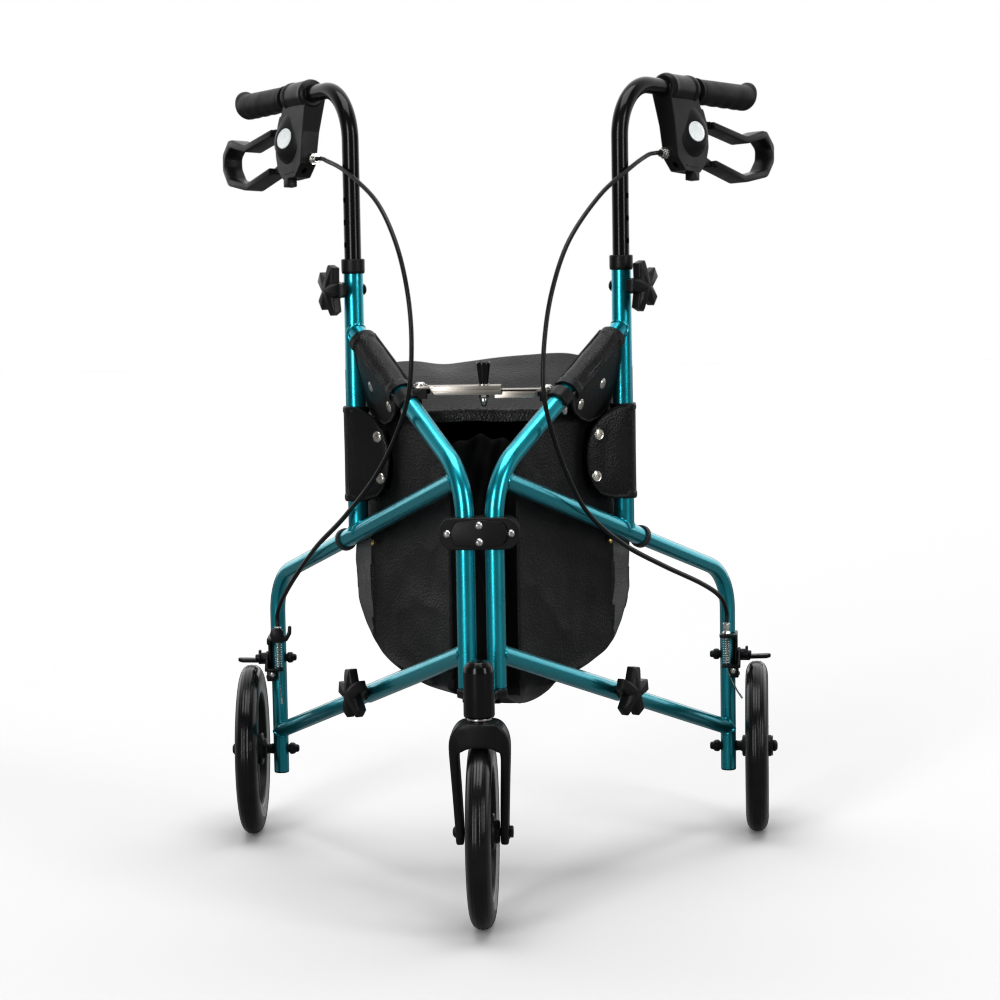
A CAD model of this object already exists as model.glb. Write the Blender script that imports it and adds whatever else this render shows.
import math
import bpy
from mathutils import Matrix, Vector


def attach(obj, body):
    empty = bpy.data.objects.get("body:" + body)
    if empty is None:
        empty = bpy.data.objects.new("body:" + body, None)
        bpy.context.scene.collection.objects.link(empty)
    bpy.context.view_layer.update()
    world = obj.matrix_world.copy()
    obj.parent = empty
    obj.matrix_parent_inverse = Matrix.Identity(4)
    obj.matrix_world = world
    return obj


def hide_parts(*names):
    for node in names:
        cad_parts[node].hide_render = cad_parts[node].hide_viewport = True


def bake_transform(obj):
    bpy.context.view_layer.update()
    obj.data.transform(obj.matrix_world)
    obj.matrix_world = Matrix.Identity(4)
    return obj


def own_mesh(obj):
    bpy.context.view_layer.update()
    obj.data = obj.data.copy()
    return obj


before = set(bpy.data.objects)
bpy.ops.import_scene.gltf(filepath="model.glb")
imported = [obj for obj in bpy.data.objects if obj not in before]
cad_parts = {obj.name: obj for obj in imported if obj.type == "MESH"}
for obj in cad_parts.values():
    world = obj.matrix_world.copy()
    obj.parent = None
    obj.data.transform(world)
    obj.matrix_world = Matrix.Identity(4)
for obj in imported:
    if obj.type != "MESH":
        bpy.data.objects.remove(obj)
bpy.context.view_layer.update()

# View: the camera stands a little right of the front wheel at chest height, with a long lens
# that keeps the splayed side frames nearly parallel, as in a catalogue picture.
sight = bpy.data.cameras.new("sight")
sight.lens = 103.04
sight.sensor_width = 36.0
sight.clip_end = 60.0
viewer = bpy.data.objects.new("viewer", sight)
bpy.context.scene.collection.objects.link(viewer)
yaw, pitch, roll = math.radians(-3.0), math.radians(6.29), math.radians(-0.96)
ahead = Vector((math.sin(yaw) * math.cos(pitch), math.cos(yaw) * math.cos(pitch), -math.sin(pitch)))
across = ahead.cross(Vector((0, 0, 1))).normalized()
upward = across.cross(ahead)
tilted_across = math.cos(roll) * across + math.sin(roll) * upward
tilted_up = -math.sin(roll) * across + math.cos(roll) * upward
turn = Matrix((tilted_across, tilted_up, -ahead)).transposed().to_4x4()
viewer.matrix_world = Matrix.Translation((0.1783, -3.1703, 0.7765)) @ turn
bpy.context.scene.camera = viewer

# Brake cables: a steel wire in a smooth black plastic casing, 5 mm thick. Each leaves the barrel
# under its handle, sweeps out in front of its side frame and drops to the brake at the rear leg.
FRONT_Y = -0.18485
HINGE_X = 0.0155


def moved(x, y, z):
    return Matrix.Translation((x, y, z))


def spun(degrees, axis):
    return Matrix.Rotation(math.radians(degrees), 4, axis)


def mirrored(sign):
    return Matrix.Identity(4) if sign > 0 else Matrix.Diagonal((-1, 1, 1, 1))


def side_matrix(sign):
    """Frame of a side frame: X back along it, Y inwards, Z up; the left one is the mirror image."""
    right = moved(HINGE_X, FRONT_Y, 0) @ spun(58.3, "Z")
    return mirrored(sign) @ right


def select_none():
    if bpy.context.object and bpy.context.object.mode != "OBJECT":
        bpy.ops.object.mode_set(mode="OBJECT")
    bpy.ops.object.select_all(action="DESELECT")


def make_active(piece):
    select_none()
    piece.select_set(True)
    bpy.context.view_layer.objects.active = piece


def new_finish(name, colour, metallic, roughness, **sockets):
    """A material with its constant values set on the shader itself."""
    finish = bpy.data.materials.new(name)
    finish.use_nodes = True
    shader = finish.node_tree.nodes["Principled BSDF"]
    shader.inputs["Base Color"].default_value = (*colour, 1)
    shader.inputs["Metallic"].default_value = metallic
    shader.inputs["Roughness"].default_value = roughness
    for socket, value in sockets.items():
        shader.inputs[socket.replace("_", " ")].default_value = value
    return finish


def add_texture(finish, kind, scale, stretch=(1, 1, 1), **settings):
    """A texture on the piece's own coordinates, stretched along its axes."""
    tree = finish.node_tree
    place = tree.nodes.new("ShaderNodeTexCoord")
    mapping = tree.nodes.new("ShaderNodeMapping")
    mapping.inputs["Scale"].default_value = stretch
    texture = tree.nodes.new("ShaderNodeTex" + kind)
    texture.inputs["Scale"].default_value = scale
    for socket, value in settings.items():
        texture.inputs[socket].default_value = value
    tree.links.new(place.outputs["Object"], mapping.inputs["Vector"])
    tree.links.new(mapping.outputs["Vector"], texture.inputs["Vector"])
    return texture


def add_bump(finish, strength, depth, *texture, **settings):
    """Bumps of a depth in metres from a texture, on top of those that the finish has already."""
    tree = finish.node_tree
    texture = add_texture(finish, *texture, **settings)
    shader = tree.nodes["Principled BSDF"]
    bump = tree.nodes.new("ShaderNodeBump")
    bump.inputs["Strength"].default_value = strength
    bump.inputs["Distance"].default_value = depth
    tree.links.new(texture.outputs[0], bump.inputs["Height"])
    if shader.inputs["Normal"].is_linked:
        tree.links.new(shader.inputs["Normal"].links[0].from_socket, bump.inputs["Normal"])
    tree.links.new(bump.outputs["Normal"], shader.inputs["Normal"])


def add_spread(finish, socket, low, high, *texture, **settings):
    """Spreads a texture between two values, or between two colours, on a socket of the shader."""
    tree = finish.node_tree
    texture = add_texture(finish, *texture, **settings)
    ramp = tree.nodes.new("ShaderNodeValToRGB")
    ramp.color_ramp.elements[0].position = 0.3
    ramp.color_ramp.elements[1].position = 0.7
    for element, value in zip(ramp.color_ramp.elements, (low, high)):
        element.color = (*value, 1) if isinstance(value, tuple) else (value, value, value, 1)
    tree.links.new(texture.outputs[0], ramp.inputs["Fac"])
    tree.links.new(ramp.outputs["Color"], tree.nodes["Principled BSDF"].inputs[socket])


casing_black = new_finish("casing_black", (0.007, 0.007, 0.0075), 0.0, 0.32, Specular_IOR_Level=0.3)
add_spread(casing_black, "Roughness", 0.26, 0.42, "Noise", 60, Detail=3)
add_bump(casing_black, 0.15, 0.0003, "Noise", 900)


def smooth_line(points, steps):
    """Even curve through hand-set points, the same one as the solid follows."""
    line = []
    for i in range(len(points) - 1):
        a, b = points[max(i - 1, 0)], points[i]
        c, d = points[i + 1], points[min(i + 2, len(points) - 1)]
        for j in range(steps):
            t = j / steps
            line.append(b + (c - a) * t / 2 + (2 * a - 5 * b + 4 * c - d) * t * t / 2
                        + (3 * b - a - 3 * c + d) * t ** 3 / 2)
    return line + [points[-1]]


def drawn_wire(name, line, radius, sides=4, closed=False):
    """A round wire along a line of points, made a mesh."""
    curve = bpy.data.curves.new(name, "CURVE")
    curve.dimensions = "3D"
    curve.bevel_depth = radius
    curve.bevel_resolution = sides
    curve.use_fill_caps = True
    spline = curve.splines.new("POLY")
    spline.points.add(len(line) - 1)
    spline.use_cyclic_u = closed
    for knot, point in zip(spline.points, line):
        knot.co = (*point, 1)
    wire = bpy.data.objects.new(name, curve)
    bpy.context.scene.collection.objects.link(wire)
    make_active(wire)
    bpy.ops.object.convert(target="MESH")
    bpy.ops.object.shade_smooth()
    return bpy.context.object


CABLE_TOP = [(0.343, 0, 0.809), (0.330, 0, 0.809)]
CABLE_FOOT = [(0.4688, -0.0079, 0.268), (0.4688, -0.0079, 0.254)]
CABLE_ROUTES = {
    "left": [(0.300, -0.008, 0.806), (0.242, -0.014, 0.794), (0.168, -0.014, 0.762), (0.122, -0.014, 0.718),
             (0.094, -0.015, 0.666), (0.084, -0.016, 0.612), (0.090, -0.018, 0.554), (0.120, -0.019, 0.508),
             (0.170, -0.020, 0.460), (0.250, -0.020, 0.408), (0.330, -0.018, 0.366), (0.400, -0.015, 0.322),
             (0.446, -0.011, 0.290)],
    "right": [(0.300, -0.008, 0.806), (0.254, -0.014, 0.792), (0.192, -0.014, 0.763), (0.130, -0.014, 0.716),
              (0.094, -0.015, 0.664), (0.076, -0.016, 0.611), (0.070, -0.018, 0.558), (0.083, -0.019, 0.514),
              (0.115, -0.020, 0.458), (0.154, -0.020, 0.416), (0.224, -0.019, 0.376), (0.310, -0.017, 0.342),
              (0.400, -0.014, 0.310), (0.450, -0.0100, 0.288)]}
SIDES = (("left", -1), ("right", 1))
for side, sign in SIDES:
    knots = [Vector(p) for p in CABLE_TOP + CABLE_ROUTES[side] + CABLE_FOOT]
    line = [side_matrix(sign) @ p for p in smooth_line(knots, 8)]
    cable = drawn_wire(side + "_cable_casing", line, 0.0025)
    cable.data.materials.append(casing_black)
    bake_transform(cable)
    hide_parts(side + "_brake_cable")

# Front tubes: round steel tube under metallic teal paint. Each stands upright at the hinge, bends
# back through sixty degrees and runs up to its post; the cut lower end holds a black hinge plug.
teal_paint = new_finish("teal_paint", (0.010, 0.34, 0.41), 0.86, 0.30, Coat_Weight=0.6, Coat_Roughness=0.04)
add_spread(teal_paint, "Base Color",
           (0.006, 0.29, 0.36), (0.016, 0.39, 0.46), "Voronoi", 2600)
add_spread(teal_paint, "Roughness", 0.26, 0.34, "Noise", 45, Detail=4)
add_bump(teal_paint, 0.02, 0.0004, "Noise", 140, Detail=2)
moulded_black = new_finish("moulded_black", (0.008, 0.008, 0.0085), 0.0, 0.40, Specular_IOR_Level=0.28)
add_spread(moulded_black, "Roughness", 0.30, 0.44, "Noise", 35, Detail=4)
add_bump(moulded_black, 0.22, 0.0004, "Noise", 1500, Detail=2)


def apply_modifier(piece, kind, **settings):
    make_active(piece)
    modifier = piece.modifiers.new(kind.lower(), kind)
    for name, value in settings.items():
        setattr(modifier, name, value)
    bpy.ops.object.modifier_apply(modifier=modifier.name)


def open_mesh():
    bpy.ops.object.mode_set(mode="EDIT")
    bpy.ops.mesh.select_all(action="SELECT")


def close_mesh():
    """Turns all faces outwards and leaves the editing of a mesh."""
    bpy.ops.mesh.select_all(action="SELECT")
    bpy.ops.mesh.normals_make_consistent(inside=False)
    bpy.ops.object.mode_set(mode="OBJECT")


def drawn_tube(name, start, way, radius, wall, moves, sides=40):
    """A tube drawn from a ring: ("run", length) goes straight on, ("turn", centre, axis, degrees) bends."""
    select_none()
    way = Vector(way).normalized()
    bpy.ops.mesh.primitive_circle_add(vertices=sides, radius=radius, location=start,
                                      rotation=way.to_track_quat("Z", "Y").to_euler())
    tube = bpy.context.object
    tube.name = name
    bpy.ops.object.transform_apply(location=True, rotation=True, scale=True)
    open_mesh()
    for move in moves:
        if move[0] == "run":
            bpy.ops.mesh.extrude_region_move(TRANSFORM_OT_translate={"value": tuple(way * move[1])})
        else:
            centre, axis, degrees = move[1:]
            bpy.ops.mesh.spin(steps=round(degrees / 4), angle=math.radians(degrees), center=centre,
                              axis=tuple(-Vector(axis)))
            way = Matrix.Rotation(math.radians(degrees), 3, Vector(axis)) @ way
    close_mesh()
    apply_modifier(tube, "SOLIDIFY", thickness=wall, offset=-1)
    return tube


def soften(piece, width, segments=2, angle=35):
    """Rounds the edges that turn by more than an angle."""
    apply_modifier(piece, "BEVEL", width=width, segments=segments, limit_method="ANGLE",
                   angle_limit=math.radians(angle), use_clamp_overlap=True)


def settle(piece, matrix=None, angle=40):
    """Sets a finished piece in its place, with its faces outwards and its round faces smooth."""
    make_active(piece)
    if matrix is not None:
        piece.matrix_world = matrix @ piece.matrix_world
    bpy.ops.object.transform_apply(location=True, rotation=True, scale=True)
    open_mesh()
    bpy.ops.mesh.remove_doubles(threshold=0.00001)
    close_mesh()
    bpy.ops.object.shade_smooth_by_angle(angle=math.radians(angle))
    return piece


def joined(name, pieces):
    """Several solids of one piece as one object."""
    make_active(pieces[0])
    for piece in pieces:
        piece.select_set(True)
    bpy.ops.object.join()
    whole = bpy.context.object
    whole.name = name
    return whole


def dress(piece, finish, body, slot, *nodes):
    """Gives a piece its finish, the body that it moves with and the solids that it stands for."""
    piece.data.name = piece.name
    if finish:
        piece.data.materials.clear()
        piece.data.materials.append(finish)
    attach(piece, body)
    if nodes:
        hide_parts(*nodes)
    return piece


def full_turn(count):
    """Angles of points spread evenly round a circle."""
    return [2 * math.pi * i / count for i in range(count)]


def weld_bead(name, start, way, radius, wall, reach, centre_line, bead=0.0017):
    """The bead where a round tube runs onto another: its ring is found by stepping along the tube."""
    way = Vector(way).normalized()
    first = way.orthogonal().normalized()
    second = way.cross(first)
    ring = []
    for a in full_turn(48):
        edge = Vector(start) + radius * (math.cos(a) * first + math.sin(a) * second)
        low, high = 0.0, reach
        for _ in range(24):
            middle = (low + high) / 2
            near = min((edge + way * middle - p).length for p in centre_line)
            low, high = (middle, high) if near < wall else (low, middle)
        ring.append(edge + way * low)
    bead_ring = drawn_wire(name, ring, bead, sides=3, closed=True)
    for i, v in enumerate(bead_ring.data.vertices):
        v.co += v.normal * 0.0003 * math.sin(i * 1.3)
    return bead_ring


def straight_line(start, end, count=400):
    start, end = Vector(start), Vector(end)
    return [start.lerp(end, i / count) for i in range(count + 1)]


SLOPE = math.radians(30)
SLOPE_Z = 0.470
POST_S = 0.256
LEG_S = 0.485
slope_way = Vector((math.cos(SLOPE), 0, math.sin(SLOPE)))


def slope_z(s):
    """Height of a sloping tube's middle at a distance back along the side frame."""
    return SLOPE_Z + s * math.tan(SLOPE)


front_line = straight_line((0, 0, 0.248), (0, 0, 0.4267), 200)
front_line += [Vector((0.075 - 0.075 * math.cos(a), 0, 0.4267 + 0.075 * math.sin(a)))
               for a in [math.radians(60) * i / 80 for i in range(81)]]
for side, sign in SIDES:
    tube = drawn_tube(side + "_front_upright", (0, 0, 0.248), (0, 0, 1), 0.0103, 0.0013,
                      [("run", 0.1787), ("turn", (0.075, 0, 0.4267), (0, 1, 0), 60), ("run", 0.246)])
    settle(tube, side_matrix(sign))
    dress(tube, teal_paint, side + "_frame", "teal_paint", side + "_front_tube")

# Posts, rails and their bushes: teal tubes that meet in fish-mouthed, welded and painted over joints.
# A black bush closes the top of each post, and a grey one the end of each mid rail.
RAIL_TAN = math.tan(math.radians(18.4))
MID_RAIL_Z = 0.473
LOW_RAIL_Z = 0.285
rail_way = Vector((math.cos(math.radians(18.4)), 0, -math.sin(math.radians(18.4))))
bush_grey = new_finish("bush_grey", (0.030, 0.029, 0.030), 0.0, 0.38, Specular_IOR_Level=0.35)
add_spread(bush_grey, "Roughness", 0.32, 0.46, "Noise", 70, Detail=3)
add_bump(bush_grey, 0.12, 0.0003, "Noise", 1200)


def rounded(outline, radius, steps=4):
    """The outline with its corners rounded; a corner may carry its own radius as a third value."""
    curve = []
    for i, corner in enumerate(outline):
        here = Vector(corner[:2])
        own = corner[2] if len(corner) > 2 else radius
        before = Vector(outline[i - 1][:2]) - here
        after = Vector(outline[(i + 1) % len(outline)][:2]) - here
        half = before.angle(after) / 2
        reach = min(own / max(math.tan(half), 0.01), 0.49 * before.length, 0.49 * after.length)
        if reach < 0.00001:
            curve.append(here)
            continue
        start, end = here + before.normalized() * reach, here + after.normalized() * reach
        for j in range(steps + 1):
            t = j / steps
            curve.append((1 - t) ** 2 * start + 2 * t * (1 - t) * here + t * t * end)
    return curve


def outline_mm(outline, radius, steps=4):
    """The same for an outline that is drawn in millimetres."""
    return rounded([tuple(v / 1000 for v in p) for p in outline], radius / 1000, steps)


def turned(name, profile, sides=40):
    """A piece turned about Z from a closed outline of radius and height."""
    select_none()
    bpy.ops.mesh.primitive_circle_add(vertices=len(profile), radius=0.01)
    piece = bpy.context.object
    piece.name = name
    for vertex, (r, z) in zip(piece.data.vertices, profile):
        vertex.co = (max(r, 0), 0, z)
    open_mesh()
    bpy.ops.mesh.spin(steps=sides, angle=2 * math.pi, center=(0, 0, 0), axis=(0, 0, 1))
    bpy.ops.mesh.select_all(action="SELECT")
    bpy.ops.mesh.remove_doubles(threshold=0.000004)
    bpy.ops.mesh.dissolve_degenerate(threshold=0.000002)
    bpy.ops.mesh.select_all(action="SELECT")
    bpy.ops.mesh.delete_loose(use_verts=True, use_edges=True, use_faces=False)
    close_mesh()
    return piece


def along(start, way):
    """Frame with its Z along a way, and its X as level as it can be."""
    return Matrix.Translation(start) @ Vector(way).to_track_quat("Z", "Y").to_matrix().to_4x4()


post_line = straight_line((POST_S, 0, 0.38), (POST_S, 0, 0.70))
mid_line = [Vector((s / 1000, 0, MID_RAIL_Z - s / 1000 * RAIL_TAN)) for s in range(0, 292)]
leg_line = straight_line((LEG_S, 0, 0.08), (LEG_S, 0, 0.25))
bush_profile = outline_mm([(9.7, 14.5), (11.1, 13.5), (11.1, 0), (12.4, 0), (13.1, 3), (13.2, 15),
                           (12.6, 16.3), (9.7, 16.3)], 0.6)
ring_profile = outline_mm([(10.1, -5), (12.1, -5), (12.6, -3), (12.6, 0.5), (10.8, 4), (8.9, 4.2), (8.9, 0.2),
                           (10.1, 0)], 0.6)
for side, sign in SIDES:
    body = side + "_frame"
    post = drawn_tube(side + "_post", (POST_S, 0, 0.3895), (0, 0, 1), 0.0111, 0.0015, [("run", 0.3045)])
    dress(settle(post, side_matrix(sign)), teal_paint, body, "teal_paint", side + "_post_tube")
    mid = drawn_tube(side + "_middle_rail", (0.0129, 0, 0.4687), rail_way, 0.0101, 0.0013,
                     [("run", (0.292 - 0.0129) / rail_way.x)])
    dress(settle(mid, side_matrix(sign)), teal_paint, body, "teal_paint", side + "_mid_rail")
    low = drawn_tube(side + "_low_rail", (0.002, 0, LOW_RAIL_Z - 0.002 * RAIL_TAN), rail_way, 0.0101, 0.0013,
                     [("run", 0.238 / rail_way.x)])
    soften(low, 0.0005, 1)
    dress(settle(low, side_matrix(sign)), teal_paint, body, "teal_paint", side + "_lower_rail")
    beads = [weld_bead("bead", (0.0129, 0, 0.4687), rail_way, 0.0101, 0.0103, 0.05, front_line),
             weld_bead("bead", (0, 0, LOW_RAIL_Z), rail_way, 0.0101, 0.0103, 0.05, front_line),
             weld_bead("bead", (POST_S, 0, 0.6178), -slope_way, 0.0103, 0.0111, 0.06, post_line),
             weld_bead("bead", (POST_S, 0, 0.3878), (0, 0, 1), 0.0111, 0.0101, 0.05, mid_line),
             weld_bead("bead", (LEG_S, 0, LOW_RAIL_Z - LEG_S * RAIL_TAN), -rail_way, 0.00874, 0.00874, 0.05,
                       leg_line)]
    welds = joined(side + "_welds", beads)
    dress(settle(welds, side_matrix(sign)), teal_paint, body, "teal_paint")
    bush = turned(side + "_post_bush", bush_profile)
    settle(bush, side_matrix(sign) @ moved(POST_S, 0, 0.680))
    dress(bush, moulded_black, body, "black_plastic")
    ring = turned(side + "_rail_bush", ring_profile)
    settle(ring, side_matrix(sign) @ along((0.292, 0, MID_RAIL_Z - 0.292 * RAIL_TAN), rail_way))
    dress(ring, bush_grey, body, "black_plastic", side + "_tube_collars")

# Rear legs: thinner teal tube that slides into both rails. It bends down behind the mid rail, a stay
# is welded to it below, and a black plug closes its foot.
LEG_BEND = (0.425, 0, 0.26839)
for side, sign in SIDES:
    leg = drawn_tube(side + "_leg_bend", (0.282, 0, MID_RAIL_Z - 0.282 * RAIL_TAN), rail_way, 0.00874, 0.0015,
                     [("run", (0.44394 - 0.282) / rail_way.x), ("turn", LEG_BEND, (0, 1, 0), 71.6),
                      ("run", 0.19439)])
    stay = drawn_tube(side + "_stay", (0.230, 0, LOW_RAIL_Z - 0.230 * RAIL_TAN), rail_way, 0.00874, 0.0015,
                      [("run", (0.483 - 0.230) / rail_way.x)])
    leg = joined(side + "_leg", [leg, stay])
    dress(settle(leg, side_matrix(sign)), teal_paint, side + "_frame", "teal_paint", side + "_rear_leg")
    plug = turned(side + "_leg_plug", outline_mm([
            (0, 10), (7.1, 10), (7.1, 0.5), (8.74, 0.3), (8.4, -1.2), (0, -1.6)], 0.4))
    settle(plug, side_matrix(sign) @ moved(LEG_S, 0, 0.0740))
    dress(plug, moulded_black, side + "_frame", "black_plastic")

# Hinge head: two black die-cast halves clamp both front tubes, held by four cross-head screws. Below,
# the caster's housing reaches under the tubes with two lugs on pivot bolts.
gloss_black = new_finish("gloss_black", (0.006, 0.006, 0.0064), 0.0, 0.16, Specular_IOR_Level=0.24,
                         Coat_Weight=0.08, Coat_Roughness=0.06)
add_spread(gloss_black, "Roughness", 0.12, 0.24, "Noise", 30, Detail=4)
add_bump(gloss_black, 0.012, 0.0003, "Noise", 180, Detail=2)
bright_steel = new_finish("bright_steel", (0.62, 0.61, 0.59), 1.0, 0.24)
add_spread(bright_steel, "Roughness", 0.16, 0.38, "Noise", 500, Detail=4)
add_bump(bright_steel, 0.1, 0.0002, "Noise", 1400)


def plate(name, outline, thick):
    """A flat piece from an outline in X and Y, raised along Z."""
    select_none()
    bpy.ops.mesh.primitive_circle_add(vertices=len(outline), radius=0.01, fill_type="NGON")
    piece = bpy.context.object
    piece.name = name
    for vertex, point in zip(piece.data.vertices, outline):
        vertex.co = (point[0], point[1], 0)
    open_mesh()
    bpy.ops.mesh.extrude_region_move(TRANSFORM_OT_translate={"value": (0, 0, thick)})
    close_mesh()
    return piece


def cut_away(piece, cutter):
    """Takes a cutter's solid out of a piece."""
    apply_modifier(piece, "BOOLEAN", object=cutter, operation="DIFFERENCE", solver="EXACT")
    bpy.data.objects.remove(cutter)


def drilled(piece, place, radius, depth, sides):
    """Drills a hole through a piece along Y."""
    select_none()
    bpy.ops.mesh.primitive_cylinder_add(vertices=sides, radius=radius, depth=depth, location=place,
                                        rotation=(math.radians(90), 0, 0))
    cut_away(piece, bpy.context.object)


def cross_head_screw(name, radius, height, reach, dome=0.4):
    """A pan-head screw with its cross recess, head up along Z from zero."""
    top = rounded([(0, -reach), (radius * 0.5, -reach), (radius * 0.5, 0), (radius, 0),
                   (radius, height * dome), (radius * 0.6, height * 0.93), (0, height)], radius * 0.12)
    screw = turned(name, top, 24)
    for angle in (0.4, 0.4 + math.pi / 2):
        select_none()
        bpy.ops.mesh.primitive_cube_add(size=1)
        blade = bpy.context.object
        blade.scale = (radius * 1.15, radius * 0.26, height * 1.1)
        blade.location = (0, 0, height * 1.02)
        blade.rotation_euler = (0, 0, angle)
        bpy.ops.object.transform_apply(location=True, rotation=True, scale=True)
        cut_away(screw, blade)
    return screw


def clamped(value):
    """A share kept between nothing and all."""
    return min(1.0, max(0.0, value))


def clamp_outline():
    return outline_mm([(-42, 9, 16), (-33, 17, 16), (33, 17, 16), (42, 9, 16), (42, -9, 16), (33, -17, 16),
                       (-33, -17, 16), (-42, -9, 16)], 10, 6)


UPRIGHT = spun(90, "X")
CLAMP_AT = moved(0, FRONT_Y, 0.413) @ UPRIGHT
for name, node, low, high in (("clamp_plate", "clamp_front", 0.0003, 0.0148),
                              ("clamp_back_plate", "clamp_back", -0.0153, -0.0003)):
    half = plate(name, clamp_outline(), high - low)
    half.location.z = low
    settle(half)
    for x in (-HINGE_X, HINGE_X):
        drilled(half, (x, 0, 0), 0.01036, 0.06, 40)
    soften(half, 0.0034 if low > 0 else 0.002, 4, 60)
    if low > 0:
        for vertex in half.data.vertices:
            if vertex.co.z > 0.006:
                vertex.co.z -= 0.0042 * clamped((abs(vertex.co.x) - 0.0285) / 0.012) ** 1.4
        pad = plate("pad", outline_mm([(-31, 0, 10), (-25, 12.5, 6), (0, 15.2, 20), (25, 12.5, 6),
                                       (31, 0, 10), (25, -12.5, 6), (0, -15.2, 20),
                                       (-25, -12.5, 6)], 8, 6), 0.0026)
        pad.location.z = 0.0128
        soften(pad, 0.0011, 3, 60)
        half = joined(name, [half, pad])
    settle(half, CLAMP_AT, 50)
    dress(half, moulded_black, "head", "black_plastic", node)
screws = []
for x, y, lift in ((-0.0335, 0, 0.0124), (0.0335, 0, 0.0124), (0, 0.0088, 0.0146), (0, -0.0088, 0.0146)):
    screw = cross_head_screw("screw", 0.0040, 0.0023, 0.012)
    screw.matrix_world = moved(x, y, lift) @ Matrix.Rotation(0.3 + 60 * x, 4, "Z")
    screws.append(screw)
screws = joined("clamp_screws", screws)
dress(settle(screws, CLAMP_AT, 30), bright_steel, "head", "steel")

STEM_Y = FRONT_Y - 0.066
shell = turned("housing", outline_mm([
        (9.5, 228.5), (15.2, 228.5, 0.5), (16, 230.5, 1), (16, 276, 4), (14.8, 281.5, 4), (10.8, 286.8, 4),
        (5, 287.8, 2), (0, 288), (0, 278), (9.5, 277)], 1.5, 5), 48)
settle(shell, moved(0, STEM_Y, 0))
lugs = plate("lugs", outline_mm([(-15, -62), (15, -62), (15.5, -22, 8), (26.5, -8, 6), (26.5, 11, 11),
                                 (-26.5, 11, 11), (-26.5, -8, 6), (-15.5, -22, 8)], 3, 6), 0.0097)
soften(lugs, 0.0012, 2, 50)
settle(lugs, moved(0, FRONT_Y, 0.238))
housing = joined("caster_socket", [shell, lugs])
dress(settle(housing), gloss_black, "head", "black_plastic", "caster_housing")
bolts = []
for x in (-HINGE_X, HINGE_X):
    head = turned("pivot", outline_mm([
            (0, -7), (4.5, -7), (5.8, -6), (5.8, -1.6), (7.2, -1.4), (7.2, 0), (0, 0)], 0.4), 6)
    stem = turned("stem", outline_mm([(0, 0), (3.9, 0), (3.9, 10.2), (0, 10.2)], 0.2), 20)
    washer = turned("washer", outline_mm([(4.1, 9.6), (8.8, 9.6), (8.8, 10.1), (4.1, 10.1)], 0.1), 28)
    bolt = joined("pivot", [head, stem, washer])
    bolts.append(settle(bolt, moved(x, FRONT_Y, 0.238), 30))
black_zinc = new_finish("black_zinc", (0.02, 0.02, 0.022), 0.85, 0.36)
add_spread(black_zinc, "Roughness", 0.28, 0.5, "Noise", 300, Detail=4)
add_bump(black_zinc, 0.15, 0.0002, "Noise", 1600)
dress(joined("pivot_bolts", bolts), black_zinc, "head", "steel", "head_bolts")
for side, sign in SIDES:
    plug = turned(side + "_hinge_plug", outline_mm([(4.2, 0), (9.2, 0), (9.2, 12), (4.2, 12)], 0.4))
    settle(plug, side_matrix(sign) @ moved(0, 0, 0.2475))
    dress(plug, moulded_black, side + "_frame", "black_plastic")

# Caster fork: one black moulding, an arch over the wheel whose legs rake back from the stem to the
# axle. A zinc washer parts it from the housing above, and a bolt through its feet holds the wheel.
AXLE_Z = 0.1015
FRONT_AXLE_Y = FRONT_Y - 0.042


def lofted(name, rings, filled=True):
    """A skin over rings of points, from a grid that is rolled up; its ends are filled or left open."""
    around = len(rings[0])
    select_none()
    bpy.ops.mesh.primitive_grid_add(x_subdivisions=around, y_subdivisions=len(rings) - 1, size=1)
    skin = bpy.context.object
    skin.name = name
    for row, ring in enumerate(rings):
        for i in range(around + 1):
            skin.data.vertices[row * (around + 1) + i].co = ring[i % around]
    open_mesh()
    bpy.ops.mesh.remove_doubles(threshold=0.00001)
    bpy.ops.mesh.select_all(action="SELECT")
    if filled:
        bpy.ops.mesh.fill_holes(sides=0)
    close_mesh()
    return skin


def box_ring(outer, inner, middle, depth, corner):
    """Ring of a rounded box section between two points of a front view, with its depth along Y."""
    outer, inner = Vector((outer[0], 0, outer[1])), Vector((inner[0], 0, inner[1]))
    centre, half = (outer + inner) / 2, (outer - inner) / 2
    corner = min(corner, 0.9 * half.length, 0.9 * depth)
    flat = rounded([(half.length, depth), (-half.length, depth), (-half.length, -depth),
                    (half.length, -depth)], corner)
    return [centre + half.normalized() * p.x + Vector((0, middle + p.y, 0)) for p in flat]


fork_half = [((27.0, 88.6), (20.2, 88.6), 7.5), ((27.5, 91.0), (19.5, 91.0), 11.0),
             ((27.6, 97.0), (19.4, 97.0), 13.4), ((27.8, 103.0), (19.4, 103.0), 13.8),
             ((28.8, 128.0), (20.0, 128.0), 12.6), ((30.2, 158.0), (20.9, 158.0), 12.2),
             ((31.4, 182.0), (21.9, 180.0), 12.6), ((31.8, 192.0), (22.0, 187.0), 13.4),
             ((31.8, 200.0), (21.0, 194.0), 14.8), ((31.0, 206.4), (19.2, 197.6), 15.8),
             ((29.2, 212.2), (16.8, 200.2), 16.8), ((26.2, 217.6), (13.6, 202.4), 17.8),
             ((22.4, 221.6), (10.4, 203.8), 18.8), ((17.6, 223.8), (7.4, 204.8), 19.8),
             ((12.0, 224.2), (5.0, 205.1), 20.4), ((6.0, 224.2), (2.5, 205.2), 20.6)]
fork_rings = []
for outer, inner, depth in fork_half:
    height = (outer[1] + inner[1]) / 2
    rake = clamped((height - 101.5) / (203 - 101.5))
    middle = FRONT_AXLE_Y + (STEM_Y - FRONT_AXLE_Y) * rake
    fork_rings.append(box_ring(Vector(outer) / 1000, Vector(inner) / 1000, middle, depth / 1000, 0.0042))
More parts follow.
